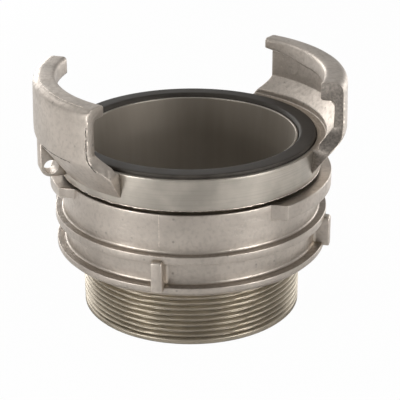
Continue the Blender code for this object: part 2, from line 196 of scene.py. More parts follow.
class CouplingFinish(bpy.types.PropertyGroup):
    """Colours and grit of the finishes."""

    cast_colour: colour_setting("Cast steel", "Colour of the blasted casting", (0.56, 0.50, 0.44))
    turned_colour: colour_setting("Turned steel", "Colour of the turned collar", (0.49, 0.447, 0.39))
    thread_colour: colour_setting("Thread steel", "Colour of the cut thread", (0.50, 0.445, 0.36))
    # The bore's darker colour is partly painted shade inside the bore.
    bore_colour: colour_setting("Bore", "Colour of the bore's wall", (0.36, 0.32, 0.27))
    rubber_colour: colour_setting("Seal", "Colour of the seal's rubber", (0.034, 0.030, 0.026))
    grit: bpy.props.FloatProperty(
        name="Casting grit",
        description="How strongly the blasted grain shows",
        default=0.5,
        min=0.0,
        max=1.0,
    )


def blend(start, end, share):
    return start + (end - start) * share


def clamp(value):
    return min(max(value, 0.0), 1.0)


def eased(value):
    return value * value * (3.0 - 2.0 * value)


def on_circle(radius, angle, height):
    turn = math.radians(angle)
    return Vector((radius * math.cos(turn), radius * math.sin(turn), height))


# Mesh building.


def outline(builder, corners, longest_edge):
    """Draws a closed (radius, height, round) outline in the XZ plane, and returns its vertices in order."""
    corner_verts = [builder.verts.new((radius, 0.0, height)) for radius, height, _ in corners]
    face = builder.faces.new(corner_verts)
    for vert, (_, _, rounding) in zip(corner_verts, corners):
        if rounding:
            bmesh.ops.bevel(
                builder,
                geom=[vert],
                offset=rounding,
                segments=ROUND_SEGMENTS,
                profile=0.5,
                affect="VERTICES",
                material=-1,
            )
    for edge in list(builder.edges):
        cuts = int(edge.calc_length() / longest_edge)
        if cuts:
            bmesh.ops.subdivide_edges(builder, edges=[edge], cuts=cuts)
    builder.faces.ensure_lookup_table()
    face = builder.faces[0]
    loop = [corner.vert for corner in face.loops]
    bmesh.ops.delete(builder, geom=[face], context="FACES_ONLY")
    return loop


def revolve(corners, longest_edge):
    """A full turn of a closed outline."""
    builder = bmesh.new()
    outline(builder, corners, longest_edge)
    bmesh.ops.spin(
        builder,
        geom=list(builder.verts) + list(builder.edges),
        cent=(0.0, 0.0, 0.0),
        axis=(0.0, 0.0, 1.0),
        angle=math.tau,
        steps=TURN_STEPS,
        use_merge=True,
        use_duplicate=False,
    )
    return builder


def round_edges(builder, edges, offset, segments):
    bmesh.ops.bevel(
        builder,
        geom=edges,
        offset=offset,
        segments=segments,
        profile=0.5,
        affect="EDGES",
        material=-1,
    )


def section_normals(points):
    """Outward directions in the XZ plane at the corners of a closed outline."""
    area = 0.0
    for first, second in zip(points, points[1:] + points[:1]):
        area += first.x * second.z - second.x * first.z
    side = 1.0 if area > 0.0 else -1.0
    normals = []
    for index, _ in enumerate(points):
        along = (points[(index + 1) % len(points)] - points[index - 1]).normalized()
        normals.append((side * along.z, -side * along.x))
    return normals


def sweep(corners, longest_edge, steps, end_round, angle_at, first_end_slot=0):
    """Spins an outline into an arc with rounded, capped ends.

    angle_at(share, radius, height) says where a point stands, with share from 0 to 1 along the arc.
    first_end_slot is the material of the end where share is 0.
    """
    builder = bmesh.new()
    rung = builder.verts.layers.int.new("rung")
    loop = outline(builder, corners, longest_edge)
    for index, vert in enumerate(loop):
        vert[rung] = index
    normals = section_normals([vert.co.copy() for vert in loop])
    first_edges = list(builder.edges)
    spun = bmesh.ops.spin(
        builder,
        geom=list(builder.verts) + first_edges,
        cent=(0.0, 0.0, 0.0),
        axis=(0.0, 0.0, 1.0),
        angle=1.0,
        steps=steps,
        use_merge=False,
        use_duplicate=False,
    )
    last_edges = [item for item in spun["geom_last"] if isinstance(item, bmesh.types.BMEdge)]
    for edges in (first_edges, last_edges):
        cap = bmesh.ops.contextual_create(builder, geom=edges)
        bmesh.ops.triangulate(builder, faces=cap["faces"])
    for face in builder.faces:
        if max(math.atan2(vert.co.y, vert.co.x) for vert in face.verts) * steps < 1.5:
            face.material_index = first_end_slot
    for vert in builder.verts:
        radius = math.hypot(vert.co.x, vert.co.y)
        ring = round(math.atan2(vert.co.y, vert.co.x) * steps)
        from_end = min(ring, steps - ring)
        inset = 0.0
        if from_end < END_RINGS:
            quarter = math.pi / 2.0 * from_end / END_RINGS
            inset = end_round * (1.0 - math.sin(quarter))
            from_tip = end_round * (1.0 - math.cos(quarter))
        else:
            from_tip = end_round
        radial, rise = normals[vert[rung]]
        arc = math.radians(angle_at(1.0, radius, vert.co.z) - angle_at(0.0, radius, vert.co.z)) * radius
        tip_share = from_tip / arc
        if from_end < END_RINGS:
            share = tip_share if ring < steps / 2 else 1.0 - tip_share
        else:
            share = blend(tip_share, 1.0 - tip_share, (ring - END_RINGS) / (steps - 2 * END_RINGS))
        angle = angle_at(share, radius, vert.co.z)
        vert.co = on_circle(radius - inset * radial, angle, vert.co.z - inset * rise)
    return builder


def add_object(name, data):
    made = bpy.data.objects.new(name, data)
    bpy.context.scene.collection.objects.link(made)
    return made


def mesh_object(name, builder, materials=()):
    """An object made of a bmesh, which is freed."""
    mesh = bpy.data.meshes.new(name)
    builder.to_mesh(mesh)
    builder.free()
    for material in materials:
        mesh.materials.append(material)
    return add_object(name, mesh)


def smooth(mesh):
    mesh.shade_smooth()
    mesh.set_sharp_from_angle(angle=math.radians(SHARP_ANGLE))


def finish_piece(name, builder, body, materials, node):
    """Makes a piece of a bmesh, hides the imported part that it stands for, and hangs it on what carries
    it.
    """
    bmesh.ops.remove_doubles(builder, verts=builder.verts, dist=WELD_DISTANCE)
    bmesh.ops.recalc_face_normals(builder, faces=builder.faces)
    piece = mesh_object(name, builder, materials)
    smooth(piece.data)
    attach(piece, body)
    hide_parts(node)
    return piece


# Body.


def core_outline():
    """The body without its hooks: tail, journal, collar with its groove, and bore."""
    rim = FACE - 0.2 * MM
    groove = FACE - 5.2 * MM
    wire_half = 1.8 * MM
    return [
        (BORE_RADIUS, 0.8 * MM, 0.0),
        (BORE_RADIUS + 0.8 * MM, 0.0, 0.0),
        (CREST_RADIUS - 0.5 * MM, 0.0, 0.0),
        (CREST_RADIUS, 0.5 * MM, 0.0),
        (CREST_RADIUS, TAIL_TOP - 0.5 * MM, 0.0),
        (JOURNAL_RADIUS, TAIL_TOP + 0.5 * MM, 0.0),
        (JOURNAL_RADIUS, WIRE_HEIGHT - wire_half, 0.0),
        (WIRE_GROOVE_RADIUS, WIRE_HEIGHT - wire_half, 0.0),
        (WIRE_GROOVE_RADIUS, WIRE_HEIGHT + wire_half, 0.0),
        (JOURNAL_RADIUS, WIRE_HEIGHT + wire_half, 0.0),
        (JOURNAL_RADIUS, COLLAR_BOTTOM, 0.6 * MM),
        (COLLAR_RADIUS, COLLAR_BOTTOM, 0.45 * MM),
        (COLLAR_RADIUS, FACE, 0.35 * MM),
        (SEAL_GROOVE_OUTER, FACE, 0.15 * MM),
        (SEAL_GROOVE_OUTER, groove, 0.0),
        (SEAL_GROOVE_INNER, groove, 0.0),
        (SEAL_GROOVE_INNER, rim, 0.15 * MM),
        (MOUTH_RADIUS, rim, 0.3 * MM),
        (BORE_RADIUS, rim - 14.0 * MM, 2.0 * MM),
    ]


def refine_tail(builder, pitch):
    """Splits the threaded rows until a pitch has about fifteen."""
    limit = pitch / 12.0
    rails = []
    for edge in builder.edges:
        low = min(vert.co.z for vert in edge.verts)
        high = max(vert.co.z for vert in edge.verts)
        outside = min(math.hypot(vert.co.x, vert.co.y) for vert in edge.verts) > THREAD_INNER_LIMIT
        if outside and high < THREAD_TOP and high - low > limit:
            rails.append(edge)
    bmesh.ops.subdivide_edges(builder, edges=rails, cuts=5, use_grid_fill=True)


def cut_thread(builder, pitch, depth):
    """Draws the tail's outside in between the crests of a right-hand thread that runs out at both ends."""
    runout = 1.2 * MM
    plain_lead = 1.4 * MM
    crest_flat = 0.08
    crest_round = 0.6
    for vert in builder.verts:
        radius = math.hypot(vert.co.x, vert.co.y)
        if vert.co.z > THREAD_TOP or radius < THREAD_INNER_LIMIT:
            continue
        turns = vert.co.z / pitch - math.atan2(vert.co.y, vert.co.x) / math.tau
        height = abs(2.0 * (turns - math.floor(turns)) - 1.0)
        flank = clamp((height - crest_flat) / (1.0 - 2.0 * crest_flat))
        fade = clamp((THREAD_TOP - vert.co.z) / runout) * clamp((vert.co.z - plain_lead) / runout)
        threaded = CREST_RADIUS - depth * (1.0 - blend(flank, eased(flank), crest_round)) * fade
        share = min(threaded, radius) / radius
        vert.co.x *= share
        vert.co.y *= share


def paint_core(builder):
    """Gives the thread, the turned collar and the bore their own material."""
    bore_limit = 42.0 * MM
    for face in builder.faces:
        centre = face.calc_center_median()
        radius = math.hypot(centre.x, centre.y)
        if radius < bore_limit and centre.z < FACE - 0.6 * MM and face.normal.z > -0.9:
            face.material_index = BORE_SLOT
        elif centre.z < TAIL_TOP:
            face.material_index = THREAD_SLOT
        elif centre.z > COLLAR_BOTTOM:
            face.material_index = TURNED_SLOT


def hook_outline():
    """A hook's section, from its root in the collar up its outside and down its inside."""
    crown_radius = HOOK_RADIUS - 0.5 * MM
    foot_inside = 50.9 * MM
    return [
        (HOOK_ROOT_RADIUS, HOOK_ROOT, 0.0),
        (COLLAR_RADIUS - 0.4 * MM, HOOK_ROOT, 0.0),
        (HOOK_RADIUS, HOOK_KNEE, 1.3 * MM),
        (HOOK_RADIUS, HOOK_WALL_BOTTOM, 0.0),
        (crown_radius, NOSE_TOP, 3.4 * MM),
        (NOSE_RADIUS, NOSE_TOP, 1.5 * MM),
        (NOSE_RADIUS, NOSE_BOTTOM, 1.0 * MM),
        (HOOK_WALL_RADIUS, NOSE_BOTTOM, 1.6 * MM),
        (HOOK_WALL_RADIUS, HOOK_WALL_BOTTOM, 0.25 * MM),
        (HOOK_FOOT_RADIUS, HOOK_STEP, 0.5 * MM),
        (HOOK_FOOT_RADIUS, FACE + 0.2 * MM, 0.4 * MM),
        (foot_inside, FACE - 0.08 * MM, 0.0),
        (HOOK_ROOT_RADIUS, FACE - 0.6 * MM, 0.0),
    ]


def hook_half_angle(height):
    """The ends stand straight up, and spread where they run out along the collar."""
    return HOOK_HALF_ANGLE + HOOK_FLARE * eased(clamp((HOOK_FLARE_TOP - height) / HOOK_FLARE_HEIGHT))


def thin_nose(builder, centre):
    """Raises the nose's underside towards the leading end."""
    inner_limit = HOOK_WALL_RADIUS + 0.6 * MM
    ramp_start = HOOK_HALF_ANGLE - NOSE_RAMP_SPAN
    straight_top = NOSE_BOTTOM + 1.2 * MM
    fixed_top = NOSE_TOP - 0.9 * MM
    for vert in builder.verts:
        if vert.co.z < HOOK_WALL_BOTTOM or math.hypot(vert.co.x, vert.co.y) > inner_limit:
            continue
        angle = math.degrees(math.atan2(vert.co.y, vert.co.x)) - centre
        angle = (angle + 180.0) % 360.0 - 180.0
        climb = clamp((angle - ramp_start) / NOSE_RAMP_SPAN)
        lower = clamp((vert.co.z - HOOK_WALL_BOTTOM) / (NOSE_BOTTOM - HOOK_WALL_BOTTOM))
        upper = clamp((fixed_top - vert.co.z) / (fixed_top - straight_top))
        vert.co.z += NOSE_RAMP_RISE * climb * min(lower, upper)


def hook_builder(centre, end_round):
    def angle_at(share, radius, height):
        return centre + (2.0 * share - 1.0) * hook_half_angle(height)

    builder = sweep(hook_outline(), 1.2 * MM, HOOK_STEPS, end_round, angle_at, ROUGH_SLOT)
    thin_nose(builder, centre)
    return builder


def ear_builder():
    """The keeper's ear: a plate under the hook on the -X side, with a rounded foot and a hole."""
    builder = bmesh.new()
    hole_height = COLLAR_BOTTOM + 5.2 * MM
    hole_centre = COLLAR_RADIUS + 5.4 * MM
    foot = 4.1 * MM
    foot_steps = 12
    inside = 50.92 * MM
    top = FACE + 5.2 * MM
    thickness = 6.4 * MM
    corners = [
        (HOOK_RADIUS - 1.9 * MM, top),
        (inside, hole_height + foot),
        (inside, hole_height - foot),
    ]
    for step in range(foot_steps + 1):
        turn = math.radians(90.0 * step / foot_steps - 90.0)
        corners.append((hole_centre + foot * math.cos(turn), hole_height + foot * math.sin(turn)))
    corners.append((HOOK_RADIUS - 0.5 * MM, top - 1.9 * MM))
    verts = [builder.verts.new((-across, -thickness / 2.0, height)) for across, height in corners]
    face = builder.faces.new(verts)
    extruded = bmesh.ops.extrude_face_region(builder, geom=[face])
    moved = [item for item in extruded["geom"] if isinstance(item, bmesh.types.BMVert)]
    bmesh.ops.translate(builder, verts=moved, vec=(0.0, thickness, 0.0))
    rims = [edge for edge in builder.edges if abs(edge.verts[0].co.y - edge.verts[1].co.y) < WELD_DISTANCE]
    round_edges(builder, rims, 0.6 * MM, 3)
    return builder, Vector((-hole_centre, 0.0, hole_height)), thickness


def drill_ear(piece, centre, thickness):
    """Cuts the ear's hole, and applies the cut."""
    builder = bmesh.new()
    bmesh.ops.create_cone(
        builder,
        cap_ends=True,
        segments=48,
        radius1=2.8 * MM,
        radius2=2.8 * MM,
        depth=thickness * 2.0,
        matrix=Matrix.Translation(centre) @ Matrix.Rotation(math.radians(90.0), 4, "X"),
    )
    drill = mesh_object("ear_drill", builder)
    cut = piece.modifiers.new("hole", "BOOLEAN")
    cut.operation = "DIFFERENCE"
    cut.solver = "EXACT"
    cut.object = drill
    graph = bpy.context.evaluated_depsgraph_get()
    cut_mesh = bpy.data.meshes.new_from_object(piece.evaluated_get(graph), depsgraph=graph)
    piece.modifiers.clear()
    piece.data = cut_mesh
    bpy.data.objects.remove(drill, do_unlink=True)
    smooth(cut_mesh)


def resample(corners, spacing):
    """Points every spacing or so along a run of (angle, radius, height) corners."""
    places = [on_circle(radius, angle, height) for angle, radius, height in corners]
    points = []
    for (first, second), (start, end) in zip(zip(places, places[1:]), zip(corners, corners[1:])):
        count = max(int((second - first).length / spacing), 1)
        for step in range(count):
            points.append(tuple(blend(a, b, step / count) for a, b in zip(start, end)))
    points.append(corners[-1])
    return points


def ridge_builder(corners, width, height, seed, sink=0.02 * MM):
    """A ragged ridge of casting flash that runs along (angle, radius, height) corners on a surface; kept
    low and dark, it serves as a strip of painted shadow.

    It stands out from the axis and, on a flat top, upwards.
    """
    builder = bmesh.new()
    rows = []
    points = resample(corners, SEAM_SPACING)
    places = [on_circle(radius, angle, level) for angle, radius, level in points]
    for index, place in enumerate(places):
        along = (places[min(index + 1, len(places) - 1)] - places[max(index - 1, 0)]).normalized()
        outward = Vector((place.x, place.y, 0.0)).normalized()
        if abs(along.z) < 0.2:
            outward = (outward + Vector((0.0, 0.0, 1.0))).normalized()
        across = along.cross(outward).normalized()
        ragged = noise.noise(Vector((index * 0.37, seed, 0.0)))
        finer = noise.noise(Vector((index * 1.3, seed, 5.0)))
        fade = clamp(min(index, len(places) - 1 - index) / 6.0)
        rise = height * fade * clamp(0.5 + 0.9 * ragged + 0.6 * finer)
        place = place + across * width * 0.6 * noise.noise(Vector((index * 0.23, seed, 9.0)))
        row = [
            builder.verts.new(place - across * width / 2.0 - outward * sink),
            builder.verts.new(place + outward * rise + across * width * 0.25 * finer),
            builder.verts.new(place + across * width / 2.0 - outward * sink),
        ]
        rows.append([builder.edges.new((row[i], row[(i + 1) % 3])) for i in range(3)])
    for lower, upper in zip(rows, rows[1:]):
        bmesh.ops.bridge_loops(builder, edges=lower + upper)
    for row in (rows[0], rows[-1]):
        bmesh.ops.contextual_create(builder, geom=row)
    return builder


def end_edge(centre, side, corners, inset):
    """Turns (radius, height) corners of a hook's section into a path just short of its end face."""
    path = []
    steps = 8
    for (first_radius, first_height), (second_radius, second_height) in zip(corners, corners[1:]):
        for step in range(steps):
            radius = blend(first_radius, second_radius, step / steps)
            height = blend(first_height, second_height, step / steps)
            path.append((centre + side * (hook_half_angle(height) - inset), radius, height))
    radius, height = corners[-1]
    path.append((centre + side * (hook_half_angle(height) - inset), radius, height))
    return path


def outer_edge_corners():
    """The outside corners of a hook's section, from the crown down to the collar."""
    return [
        (HOOK_RADIUS - 0.4 * MM, NOSE_TOP - 4.2 * MM),
        (HOOK_RADIUS, HOOK_WALL_BOTTOM),
        (HOOK_RADIUS, HOOK_KNEE + 0.8 * MM),
        (HOOK_RADIUS - 0.5 * MM, HOOK_KNEE - 0.6 * MM),
        (COLLAR_RADIUS + 0.3 * MM, HOOK_ROOT + 0.9 * MM),
    ]


def inner_edge_corners():
    """The inside corners of a hook's section, from the nose's foot down to the sealing face."""
    return [
        (NOSE_RADIUS + 0.4 * MM, NOSE_TOP - 2.6 * MM),
        (NOSE_RADIUS, NOSE_BOTTOM + 1.0 * MM),
        (NOSE_RADIUS + 1.0 * MM, NOSE_BOTTOM),
        (HOOK_WALL_RADIUS - 1.4 * MM, NOSE_BOTTOM),
        (HOOK_WALL_RADIUS, NOSE_BOTTOM - 1.4 * MM),
        (HOOK_WALL_RADIUS, HOOK_WALL_BOTTOM),
        (HOOK_FOOT_RADIUS, HOOK_STEP),
        (HOOK_FOOT_RADIUS, FACE + 0.4 * MM),
        (COLLAR_RADIUS - 0.2 * MM, FACE + 0.05 * MM),
    ]


def seam_paths():
    """Every ragged line on the body's casting: name, corners, width, height, and burr or painted shadow
    strip.
    """
    crown = NOSE_TOP - 0.17 * MM
    crown_radius = HOOK_RADIUS - 2.9 * MM
    outer = outer_edge_corners()
    inner = inner_edge_corners()
    knee_radius = HOOK_RADIUS - 0.17 * MM
    knee_line = [(angle, knee_radius, HOOK_KNEE + 0.3 * MM) for angle in (187.0, 192.0, 198.0, 207.0)]
    crown_line = [(angle, crown_radius, crown) for angle in range(170, 213, 6)]
    collar_edge = (COLLAR_RADIUS - 0.1 * MM, COLLAR_BOTTOM + 0.1 * MM)
    collar_line = [(angle, *collar_edge) for angle in range(0, 361, 5)]
    # The low, almost black strips in this list are painted shadow along the seams.
    return [
        ("seam_shadow_strip", end_edge(180.0, 1.0, outer[:4], 0.80), 0.85 * MM, 0.07 * MM, SHADOW_STRIP),
        ("seam_burr", end_edge(180.0, 1.0, outer[:4], 0.22), 0.40 * MM, 0.30 * MM, BURR),
        ("seam_lip", end_edge(180.0, 1.0, outer[:3], 1.40), 0.35 * MM, 0.18 * MM, BURR),
        ("knee_shadow_strip", knee_line, 0.34 * MM, 0.04 * MM, SHADOW_STRIP),
        ("crown_seam", crown_line, 0.36 * MM, 0.14 * MM, BURR),
        ("collar_burr", collar_line, 0.40 * MM, 0.12 * MM, BURR),
        ("end_burr_outer", end_edge(0.0, -1.0, outer, 0.35), 0.34 * MM, 0.24 * MM, BURR),
        ("end_burr_side", end_edge(0.0, -1.0, outer[:4], 0.95), 0.28 * MM, 0.16 * MM, BURR),
        ("end_burr_inner", end_edge(0.0, -1.0, inner, 0.22), 0.36 * MM, 0.16 * MM, BURR),
        ("low_end_burr", end_edge(180.0, 1.0, outer[3:], 0.4), 0.30 * MM, 0.14 * MM, BURR),
    ]


def ring_seam_paths():
    """The ragged lines where the locking ring's mould parted, above the front lug."""
    parting = LUG_ANGLES[3]
    wall = [(parting, RING_WALL_RADIUS, height) for height in (RIB_TOP + 1.0 * MM, RING_TOP)]
    rib_edge = (RIB_RADIUS - 0.12 * MM, RIB_TOP - 0.12 * MM)
    rib = [(parting + step, *rib_edge) for step in (-4.0, -1.0, 2.0, 5.0)]
    lug_edge = (LUG_RADIUS - 0.9 * MM, RIB_BOTTOM + 1.0 * MM)
    lug = [(parting + step, *lug_edge) for step in (-1.5, 0.0, 1.5)]
    return [
        ("ring_parting", wall, 0.36 * MM, 0.05 * MM, BURR),
        ("rib_burr", rib, 0.36 * MM, 0.20 * MM, BURR),
        ("lug_burr", lug, 0.50 * MM, 0.40 * MM, BURR),
    ]


# Locking ring.


def ring_outline():
    flange_top = RING_BOTTOM + 3.9 * MM
    step = 0.25 * MM
    return [
        (RING_BORE_RADIUS, RING_TOP, 0.4 * MM),
        (RING_WALL_RADIUS, RING_TOP, 0.5 * MM),
        (RING_WALL_RADIUS, RIB_TOP, 0.9 * MM),
        (RIB_RADIUS, RIB_TOP, 0.3 * MM),
        (RIB_RADIUS, RIB_BOTTOM, 0.25 * MM),
        (RING_LOWER_WALL_RADIUS + step, RIB_BOTTOM, 0.3 * MM),
        (RING_LOWER_WALL_RADIUS + step, RIB_BOTTOM - 1.3 * MM, 0.05 * MM),
        (RING_LOWER_WALL_RADIUS, RIB_BOTTOM - 1.45 * MM, 0.05 * MM),
        (RING_LOWER_WALL_RADIUS, flange_top, 1.0 * MM),
        (FLANGE_RADIUS, flange_top, 0.3 * MM),
        (FLANGE_RADIUS, RING_BOTTOM + 1.7 * MM, 0.3 * MM),
        (FLANGE_RADIUS - 1.7 * MM, RING_BOTTOM, 0.2 * MM),
        (RING_BORE_RADIUS, RING_BOTTOM, 0.4 * MM),
    ]


def paint_ledge_shade(builder):
    """Gives the flange's and the rib's upper faces a darker copy of the ring's material, as painted shade.
    """
    bmesh.ops.recalc_face_normals(builder, faces=builder.faces)
    for face in builder.faces:
        level = face.calc_center_median().z
        if face.normal.z > 0.85 and RING_BOTTOM + 2.0 * MM < level < RIB_TOP + 0.5 * MM:
            face.material_index = SHADED_LEDGE_SLOT


def lip_outline():
    underside = RING_TOP - 5.9 * MM
    foot = underside - 1.6 * MM
    inside = 49.6 * MM
    top_inside = 50.6 * MM
    return [
        (top_inside, RING_TOP, 0.0),
        (LIP_RADIUS, RING_TOP, 0.4 * MM),
        (LIP_RADIUS, underside, 0.4 * MM),
        (RING_WALL_RADIUS, underside, 1.0 * MM),
        (RING_WALL_RADIUS - 0.25 * MM, foot, 0.0),
        (inside, foot, 0.0),
        (inside, RING_TOP - 0.6 * MM, 0.0),
    ]


def lip_builder(start, end_round):
    """A ramp lip. Its underside climbs towards the leading end."""

    def angle_at(share, radius, height):
        splay = LIP_END_SPLAY * (radius - RING_WALL_RADIUS) / (LIP_RADIUS - RING_WALL_RADIUS)
        return blend(start + splay, start + LIP_SPAN - splay, share)

    builder = sweep(lip_outline(), 1.2 * MM, LIP_STEPS, end_round, angle_at)
    fixed_bottom = RING_TOP - 2.0 * MM
    transition = 3.0 * MM
    for vert in builder.verts:
        angle = (math.degrees(math.atan2(vert.co.y, vert.co.x)) - start) % 360.0
        climb = clamp((angle - (LIP_SPAN - LIP_RAMP_SPAN)) / LIP_RAMP_SPAN)
        if vert.co.z < fixed_bottom:
            share = clamp((fixed_bottom - vert.co.z) / transition)
            vert.co.z += LIP_RAMP_RISE * climb * share
    return builder


def lug_builder(angle):
    """A spanner lug with fillets to the ring's wall and a rounded top."""
    builder = bmesh.new()
    bottom = RING_BOTTOM + 3.0 * MM
    top = RING_BOTTOM + 15.0 * MM
    half = 2.2 * MM
    skirt = 5.4 * MM
    inside = 48.8 * MM
    skirt_radius = 50.1 * MM
    neck_radius = 50.35 * MM
    corners = [
        (inside, -skirt, 0.0),
        (skirt_radius, -skirt, 0.0),
        (neck_radius, -half, 1.5 * MM),
        (LUG_RADIUS, -half, 0.7 * MM),
        (LUG_RADIUS, half, 0.7 * MM),
        (neck_radius, half, 1.5 * MM),
        (skirt_radius, skirt, 0.0),
        (inside, skirt, 0.0),
    ]
    loop = outline(builder, corners, 10.0 * MM)
    for vert in loop:
        vert.co = Vector((vert.co.x, vert.co.z, bottom))
    base = bmesh.ops.contextual_create(builder, geom=list(builder.edges))["faces"]
    extruded = bmesh.ops.extrude_face_region(builder, geom=base)
    moved = [item for item in extruded["geom"] if isinstance(item, bmesh.types.BMVert)]
    bmesh.ops.translate(builder, verts=moved, vec=(0.0, 0.0, top - bottom))
    rims = []
    for edge in builder.edges:
        level = min(vert.co.z for vert in edge.verts)
        reach = max(vert.co.x for vert in edge.verts)
        if level > top - WELD_DISTANCE and reach > RING_WALL_RADIUS + 1.2 * MM:
            rims.append(edge)
    round_edges(builder, rims, 1.1 * MM, 4)
    bmesh.ops.rotate(
        builder,
        verts=builder.verts,
        cent=(0.0, 0.0, 0.0),
        matrix=Matrix.Rotation(math.radians(angle), 3, "Z"),
    )
    return builder


def seal_outline():
    bottom = FACE - 4.9 * MM
    top = FACE + 1.3 * MM
    return [
        (SEAL_INNER, bottom, 0.2 * MM),
        (SEAL_OUTER, bottom, 0.2 * MM),
        (SEAL_OUTER, top, 0.6 * MM),
        (SEAL_INNER + 0.8 * MM, top, 0.5 * MM),
        (SEAL_INNER, FACE - 0.2 * MM, 0.4 * MM),
    ]


# Materials.


def feed(tree, node, inputs):
    """Links the inputs that are given a socket, and sets the others."""
    for key, value in inputs.items():
        if isinstance(value, bpy.types.NodeSocket):
            tree.links.new(value, node.inputs[key])
        else:
            node.inputs[key].default_value = value


def add_node(tree, kind, inputs=None, **settings):
    made = tree.nodes.new(kind)
    for key, value in settings.items():
        setattr(made, key, value)
    feed(tree, made, inputs or {})
    return made


def new_material(name, metallic, roughness):
    material = bpy.data.materials.new(name)
    material.use_nodes = True
    tree = material.node_tree
    shader = tree.nodes["Principled BSDF"]
    feed(tree, shader, {"Metallic": metallic, "Roughness": roughness})
    return material, tree, shader


def ramp_between(tree, factor, low, high, from_min=0.35, from_max=0.65):
    """Maps a texture's middle range onto low to high."""
    mapped = add_node(
        tree,
        "ShaderNodeMapRange",
        {"Value": factor, "From Min": from_min, "From Max": from_max, "To Min": low, "To Max": high},
    )
    return mapped.outputs["Result"]


def mix_colour(tree, factor, dark, light):
    """Mixes two colours, each a socket or three numbers."""
    mixed = tree.nodes.new("ShaderNodeMix")
    mixed.data_type = "RGBA"
    colours = {
        index: value if isinstance(value, bpy.types.NodeSocket) else (*value, 1.0)
        for index, value in ((MIX_DARK, dark), (MIX_LIGHT, light))
    }
    feed(tree, mixed, {MIX_FACTOR: factor, **colours})
    return mixed.outputs[MIX_RESULT]


def object_place(tree):
    return add_node(tree, "ShaderNodeTexCoord").outputs["Object"]


def noise_texture(tree, place, scale, detail):
    inputs = {"Vector": place, "Scale": scale, "Detail": detail}
    return add_node(tree, "ShaderNodeTexNoise", inputs).outputs["Fac"]


def stretched_place(tree, scale):
    stretched = add_node(tree, "ShaderNodeMapping", {"Vector": object_place(tree), "Scale": scale})
    return stretched.outputs["Vector"]


def scaled(colour, share):
    return tuple(channel * share for channel in colour)


def varied(tree, texture, colour, darkest, lightest):
    """A colour that a texture varies between two shares of itself."""
    factor = ramp_between(tree, texture, 0.0, 1.0)
    return mix_colour(tree, factor, scaled(colour, darkest), scaled(colour, lightest))


def bump(tree, height, strength, distance, under=None):
    """The normal of a bump, which may lie on top of the one under it."""
    inputs = {"Height": height, "Strength": strength, "Distance": distance}
    if under is not None:
        inputs["Normal"] = under
    return add_node(tree, "ShaderNodeBump", inputs).outputs["Normal"]


def calculate(tree, operation, first, second):
    return add_node(tree, "ShaderNodeMath", {0: first, 1: second}, operation=operation).outputs[0]


def edge_wear_and_highlight(tree, radius):
    """1 on edges and in fillets and 0 on flat skin: rubbed bright on the outer edges, and painted highlight
    in the fillets.
    """
    geometry = add_node(tree, "ShaderNodeNewGeometry")
    rounded = add_node(tree, "ShaderNodeBevel", {"Radius": radius}, samples=4)
    aligned = add_node(
        tree,
        "ShaderNodeVectorMath",
        {0: rounded.outputs["Normal"], 1: geometry.outputs["Normal"]},
        operation="DOT_PRODUCT",
    )
    return ramp_between(tree, aligned.outputs["Value"], 1.0, 0.0, 0.88, 0.995)


def corner_shade(tree, distance):
    """1 in tight corners and 0 in the open: the mask of painted shade in corners and creases."""
    occlusion = add_node(tree, "ShaderNodeAmbientOcclusion", {"Distance": distance}, samples=6)
    return ramp_between(tree, occlusion.outputs["AO"], 1.0, 0.0, 0.30, 0.80)


def cast_material(name, colour, grit, roughness):
    """Blasted casting: mottled, grainy, with small pits and edges rubbed bright, painted shade in its
    corners and painted highlight in its fillets.
    """
    material, tree, shader = new_material(name, 1.0, roughness)
    place = object_place(tree)
    cloud = noise_texture(tree, place, 70.0, 3.0)
    mottle = noise_texture(tree, place, 650.0, 4.0)
    grain = noise_texture(tree, place, 2200.0, 2.0)
    pits = add_node(tree, "ShaderNodeTexVoronoi", {"Vector": place, "Scale": 380.0})
    tone = varied(tree, cloud, colour, 0.90, 1.08)
    spots = ramp_between(tree, mottle, 0.40, 0.0, 0.28, 0.52)
    speckled = mix_colour(tree, spots, tone, scaled(colour, 0.66))
    chosen = add_node(tree, "ShaderNodeSeparateColor", {"Color": pits.outputs["Color"]})
    few = ramp_between(tree, chosen.outputs["Red"], 0.0, 0.85, 0.86, 0.90)
    pit_middle = ramp_between(tree, pits.outputs["Distance"], 1.0, 0.0, 0.10, 0.24)
    pocks = calculate(tree, "MULTIPLY", few, pit_middle)
    pocked = mix_colour(tree, pocks, speckled, scaled(colour, 0.58))
    # Painted shade: darkens tight corners and creases towards a dark brown.
    corner_shaded = mix_colour(tree, corner_shade(tree, 2.6 * MM), pocked, CORNER_SHADE_COLOUR)
    # Edges lightened: rubbed bright on outer edges, painted highlight in fillets.
    wear_and_highlight = edge_wear_and_highlight(tree, 0.45 * MM)
    rubbed_and_highlit = mix_colour(tree, wear_and_highlight, corner_shaded, scaled(colour, 1.4))
    skin = ramp_between(tree, mottle, roughness + 0.06, roughness - 0.05)
    rubbed = add_node(tree, "ShaderNodeMix", {"Factor": wear_and_highlight, "A": skin, "B": roughness - 0.14})
    hollows = ramp_between(tree, pits.outputs["Distance"], -1.0, 0.0, 0.04, 0.16)
    waved = bump(tree, cloud, grit, 1.2 * MM)
    grained = bump(tree, mottle, grit, 0.22 * MM, waved)
    fine = bump(tree, grain, grit, 0.05 * MM, grained)
    pitted = bump(tree, hollows, grit, 0.06 * MM, fine)
    sheen = rubbed.outputs["Result"]
    feed(tree, shader, {"Base Color": rubbed_and_highlit, "Roughness": sheen, "Normal": pitted})
    return material


